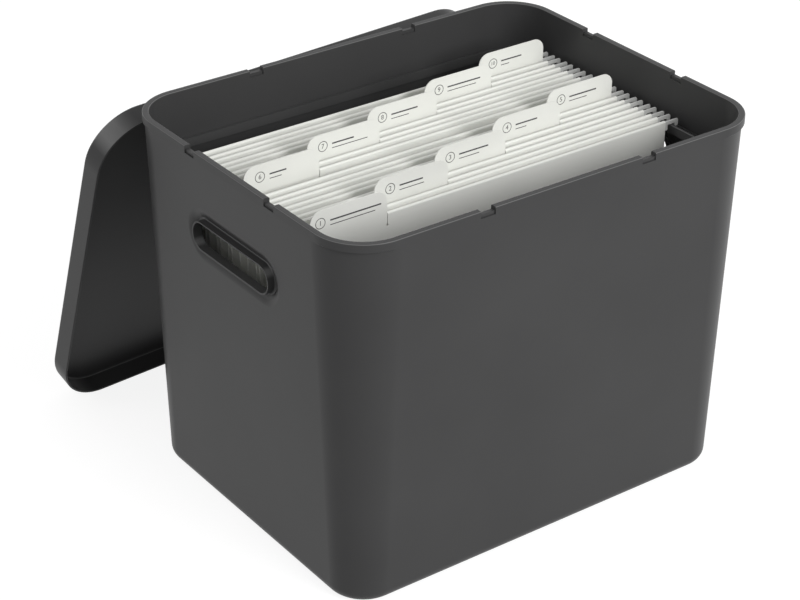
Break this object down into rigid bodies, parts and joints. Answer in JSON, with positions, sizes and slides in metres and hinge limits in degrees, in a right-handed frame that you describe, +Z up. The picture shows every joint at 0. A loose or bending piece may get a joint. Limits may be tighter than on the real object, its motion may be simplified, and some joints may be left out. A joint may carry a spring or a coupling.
{
  "type": "portable file box",
  "caption": "Dark moulded storage box with slot grips, a lift-off lid leaning behind it, and a drop-in frame that carries tabbed hanging folders on hooked rails.",
  "frame": {"origin": "centre of the box's flat underside, on the floor", "axes": "+Z up, X along the box's long side with the numbered tabs reading towards -Y (the front), +Y towards the back where the lid leans"},
  "size_m": [0.3898, 0.4106, 0.2915],
  "materials": {
    "box_plastic": "fine matte moulded polypropylene, dark grey",
    "frame_plastic": "matte moulded polypropylene, dark grey",
    "folder_card": "smooth off-white card",
    "rail_plastic": "satin light grey moulded plastic"
  },
  "bodies": {
    "box": {"box": "box_plastic"},
    "lid": {"lid": "box_plastic"},
    "frame": {"file_frame": "frame_plastic"},
    "hanging_folder_01": {"folder_01": "folder_card", "front_rail_01": "rail_plastic", "rear_rail_01": "rail_plastic"},
    "hanging_folder_02": {"folder_02": "folder_card", "front_rail_02": "rail_plastic", "rear_rail_02": "rail_plastic"},
    "hanging_folder_03": {"folder_03": "folder_card", "front_rail_03": "rail_plastic", "rear_rail_03": "rail_plastic"},
    "hanging_folder_04": {"folder_04": "folder_card", "front_rail_04": "rail_plastic", "rear_rail_04": "rail_plastic"},
    "hanging_folder_05": {"folder_05": "folder_card", "front_rail_05": "rail_plastic", "rear_rail_05": "rail_plastic"},
    "hanging_folder_06": {"folder_06": "folder_card", "front_rail_06": "rail_plastic", "rear_rail_06": "rail_plastic"},
    "hanging_folder_07": {"folder_07": "folder_card", "front_rail_07": "rail_plastic", "rear_rail_07": "rail_plastic"},
    "hanging_folder_08": {"folder_08": "folder_card", "front_rail_08": "rail_plastic", "rear_rail_08": "rail_plastic"},
    "hanging_folder_09": {"folder_09": "folder_card", "front_rail_09": "rail_plastic", "rear_rail_09": "rail_plastic"},
    "hanging_folder_10": {"folder_10": "folder_card", "front_rail_10": "rail_plastic", "rear_rail_10": "rail_plastic"}
  },
  "joints": [
    {"name": "lid_lift", "type": "slide", "parent": "box", "child": "lid", "axis": [0, 0, 1], "range_m": [0, 0.33]},
    {"name": "frame_lift", "type": "slide", "parent": "box", "child": "frame", "axis": [0, 0, 1], "range_m": [0, 0.3]},
    {"name": "folder_01_lift", "type": "slide", "parent": "frame", "child": "hanging_folder_01", "axis": [0, 0, 1], "range_m": [0, 0.28]},
    {"name": "folder_02_lift", "type": "slide", "parent": "frame", "child": "hanging_folder_02", "axis": [0, 0, 1], "range_m": [0, 0.28]},
    {"name": "folder_03_lift", "type": "slide", "parent": "frame", "child": "hanging_folder_03", "axis": [0, 0, 1], "range_m": [0, 0.28]},
    {"name": "folder_04_lift", "type": "slide", "parent": "frame", "child": "hanging_folder_04", "axis": [0, 0, 1], "range_m": [0, 0.28]},
    {"name": "folder_05_lift", "type": "slide", "parent": "frame", "child": "hanging_folder_05", "axis": [0, 0, 1], "range_m": [0, 0.28]},
    {"name": "folder_06_lift", "type": "slide", "parent": "frame", "child": "hanging_folder_06", "axis": [0, 0, 1], "range_m": [0, 0.28]},
    {"name": "folder_07_lift", "type": "slide", "parent": "frame", "child": "hanging_folder_07", "axis": [0, 0, 1], "range_m": [0, 0.28]},
    {"name": "folder_08_lift", "type": "slide", "parent": "frame", "child": "hanging_folder_08", "axis": [0, 0, 1], "range_m": [0, 0.28]},
    {"name": "folder_09_lift", "type": "slide", "parent": "frame", "child": "hanging_folder_09", "axis": [0, 0, 1], "range_m": [0, 0.28]},
    {"name": "folder_10_lift", "type": "slide", "parent": "frame", "child": "hanging_folder_10", "axis": [0, 0, 1], "range_m": [0, 0.28]}
  ]
}
